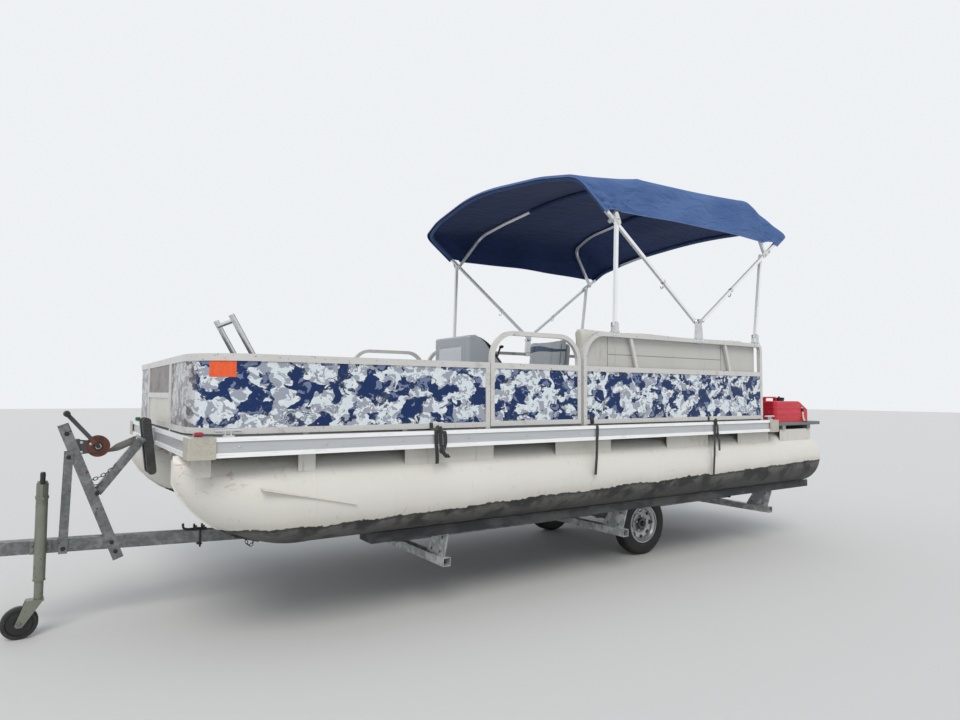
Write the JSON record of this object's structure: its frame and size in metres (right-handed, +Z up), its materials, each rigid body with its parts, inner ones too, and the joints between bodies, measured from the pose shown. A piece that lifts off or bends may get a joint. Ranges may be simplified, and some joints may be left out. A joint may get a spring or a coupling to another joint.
{
  "type": "pontoon boat on trailer",
  "caption": "Two-tube pontoon boat with fenced deck, gates, helm, lounge seats, folding sun top and tilting outboard, resting on a bunk trailer with wheels, jack and winch stand",
  "frame": {"origin": "on the ground under the middle of the whole", "axes": "+X to the bow, +Y to port, +Z up"},
  "size_m": [6.98, 2.45, 3.263],
  "materials": {
    "weathered_aluminium": "dull, weathered and stained",
    "aluminium": "satin",
    "galvanised": "dull galvanised",
    "carpet": "marine carpet",
    "bunk_carpet": "worn carpet",
    "white_plastic": "satin",
    "cream_tube": "satin enamel",
    "camouflage": "blue and white camouflage",
    "grey_shell": "satin moulded shell",
    "cream_shell": "satin moulded shell",
    "vinyl": "marine vinyl",
    "black_plastic": "matt",
    "red_plastic": "satin",
    "navy_cloth": "woven canvas",
    "black_paint": "semi gloss",
    "silver_paint": "satin",
    "rusty_red": "worn and rusty",
    "tyre": "worn rubber"
  },
  "bodies": {
    "boat_on_trailer": {"pontoons": "weathered_aluminium", "deck_risers": "cream_tube", "deck_beams": "aluminium", "deck": "carpet", "rub_rail": "white_plastic", "corner_caps": "white_plastic", "aft_deck": "carpet", "motor_pod": "aluminium", "bow_fences": "cream_tube", "port_aft_fence": "cream_tube", "starboard_aft_fence": "cream_tube", "stern_fence": "cream_tube", "fence_panels": "camouflage", "helm_console": "grey_shell", "chair_pedestal": "aluminium", "seat_bases": "cream_shell", "seat_cushions": "vinyl", "fuel_tank": "red_plastic", "boarding_ladder": "aluminium", "cleats": "aluminium", "sun_top_mounts": "aluminium", "outboard_clamp": "black_paint", "trailer_tongue": "galvanised", "trailer_rails": "galvanised", "trailer_cross_beams": "galvanised", "bunk_brackets": "galvanised", "trailer_bunks": "bunk_carpet", "trailer_axle": "galvanised", "coupler": "galvanised", "jack": "galvanised", "winch_stand": "galvanised", "winch": "rusty_red", "bow_stop_pads": "black_plastic"},
    "bow_gate": {"bow_gate": "cream_tube", "bow_gate_panels": "camouflage"},
    "port_gate": {"port_gate": "cream_tube", "port_gate_panel": "camouflage"},
    "starboard_gate": {"starboard_gate": "cream_tube", "starboard_gate_panel": "camouflage"},
    "steering_wheel": {"steering_wheel": "black_plastic"},
    "chair": {"captain_chair": "cream_shell", "captain_cushions": "vinyl"},
    "front_main_bow": {"front_main_bow": "aluminium"},
    "front_inner_bow": {"front_inner_bow": "aluminium"},
    "front_struts": {"front_struts": "aluminium"},
    "rear_main_bow": {"rear_main_bow": "aluminium", "sun_top_canopy": "navy_cloth"},
    "rear_inner_bow": {"rear_inner_bow": "aluminium"},
    "rear_struts": {"rear_struts": "aluminium"},
    "outboard_swivel": {"outboard_swivel": "black_paint"},
    "outboard_motor": {"outboard_leg": "black_paint", "outboard_cowl": "black_paint"},
    "propeller": {"propeller": "black_paint"},
    "port_wheel": {"port_tyre": "tyre", "port_rim": "silver_paint"},
    "starboard_wheel": {"starboard_tyre": "tyre", "starboard_rim": "silver_paint"},
    "jack_caster": {"jack_caster": "galvanised"},
    "jack_wheel": {"jack_wheel": "black_plastic"}
  },
  "joints": [
    {"name": "bow_gate_hinge", "type": "hinge", "parent": "boat_on_trailer", "child": "bow_gate", "pos_m": [2.416, -0.453, 1.36], "axis": [0, 0, 1], "range_deg": [0, 90]},
    {"name": "port_gate_hinge", "type": "hinge", "parent": "boat_on_trailer", "child": "port_gate", "pos_m": [0.671, 1.122, 1.36], "axis": [0, 0, 1], "range_deg": [0, 90]},
    {"name": "starboard_gate_hinge", "type": "hinge", "parent": "boat_on_trailer", "child": "starboard_gate", "pos_m": [0.671, -1.122, 1.36], "axis": [0, 0, -1], "range_deg": [0, 90]},
    {"name": "helm_wheel", "type": "hinge", "parent": "boat_on_trailer", "child": "steering_wheel", "pos_m": [-0.425, -0.66, 1.74], "axis": [0.7433, 0, -0.669], "range_deg": [-540, 540]},
    {"name": "chair_swivel", "type": "hinge", "parent": "boat_on_trailer", "child": "chair", "pos_m": [-1.12, -0.66, 1.45], "axis": [0, 0, 1], "continuous": true},
    {"name": "sun_top_front_bow", "type": "hinge", "parent": "boat_on_trailer", "child": "front_main_bow", "pos_m": [-1.435, 0, 1.988], "axis": [0, -1, 0], "range_deg": [0, 125.7], "deforming": ["sun_top_canopy"]},
    {"name": "sun_top_rear_bow", "type": "hinge", "parent": "boat_on_trailer", "child": "rear_main_bow", "pos_m": [-1.435, 0, 1.988], "axis": [0, -1, 0], "range_deg": [0, 27.5]},
    {"name": "sun_top_front_inner", "type": "hinge", "parent": "front_main_bow", "child": "front_inner_bow", "pos_m": [-0.49157, 0, 2.7067], "axis": [0, -1, 0], "range_deg": [-85.3, 0]},
    {"name": "sun_top_rear_inner", "type": "hinge", "parent": "rear_main_bow", "child": "rear_inner_bow", "pos_m": [-2.37551, 0, 2.68394], "axis": [0, -1, 0], "range_deg": [0, 77.1]},
    {"name": "front_strut_swing", "type": "hinge", "parent": "front_main_bow", "child": "front_struts", "pos_m": [-0.49157, 0, 2.7067], "axis": [0, -1, 0], "range_deg": [-54.53, 0]},
    {"name": "rear_strut_swing", "type": "hinge", "parent": "rear_main_bow", "child": "rear_struts", "pos_m": [-2.31924, 0, 2.6423], "axis": [0, -1, 0], "range_deg": [0, 45.51]},
    {"name": "outboard_tilt", "type": "hinge", "parent": "boat_on_trailer", "child": "outboard_swivel", "pos_m": [-2.92, 0, 1.11], "axis": [0, 1, 0], "range_deg": [0, 65]},
    {"name": "outboard_steer", "type": "hinge", "parent": "outboard_swivel", "child": "outboard_motor", "pos_m": [-2.975, 0, 0.98], "axis": [0, 0, 1], "range_deg": [-36, 36]},
    {"name": "propeller_shaft", "type": "hinge", "parent": "outboard_motor", "child": "propeller", "pos_m": [-3.233, 0, 0.39], "axis": [1, 0, 0], "continuous": true},
    {"name": "port_wheel_bearing", "type": "hinge", "parent": "boat_on_trailer", "child": "port_wheel", "pos_m": [-1.3, 0.6, 0.262], "axis": [0, 1, 0], "continuous": true},
    {"name": "starboard_wheel_bearing", "type": "hinge", "parent": "boat_on_trailer", "child": "starboard_wheel", "pos_m": [-1.3, -0.6, 0.262], "axis": [0, 1, 0], "continuous": true},
    {"name": "jack_caster_swivel", "type": "hinge", "parent": "boat_on_trailer", "child": "jack_caster", "pos_m": [3.055, 0.095, 0.2], "axis": [0, 0, 1], "continuous": true},
    {"name": "jack_wheel_pin", "type": "hinge", "parent": "jack_caster", "child": "jack_wheel", "pos_m": [3.14, 0.095, 0.09], "axis": [0, 1, 0], "continuous": true}
  ],
  "couplings": [
    {"joint": "sun_top_rear_bow", "follows": "sun_top_front_bow", "ratio": 0.21877},
    {"joint": "sun_top_front_inner", "follows": "sun_top_front_bow", "ratio": -0.6786},
    {"joint": "sun_top_rear_inner", "follows": "sun_top_front_bow", "ratio": 0.61337},
    {"joint": "front_strut_swing", "follows": "sun_top_front_bow", "ratio": -0.43382},
    {"joint": "rear_strut_swing", "follows": "sun_top_front_bow", "ratio": 0.36203},
    {"joint": "outboard_steer", "follows": "helm_wheel", "ratio": 0.066666}
  ]
}
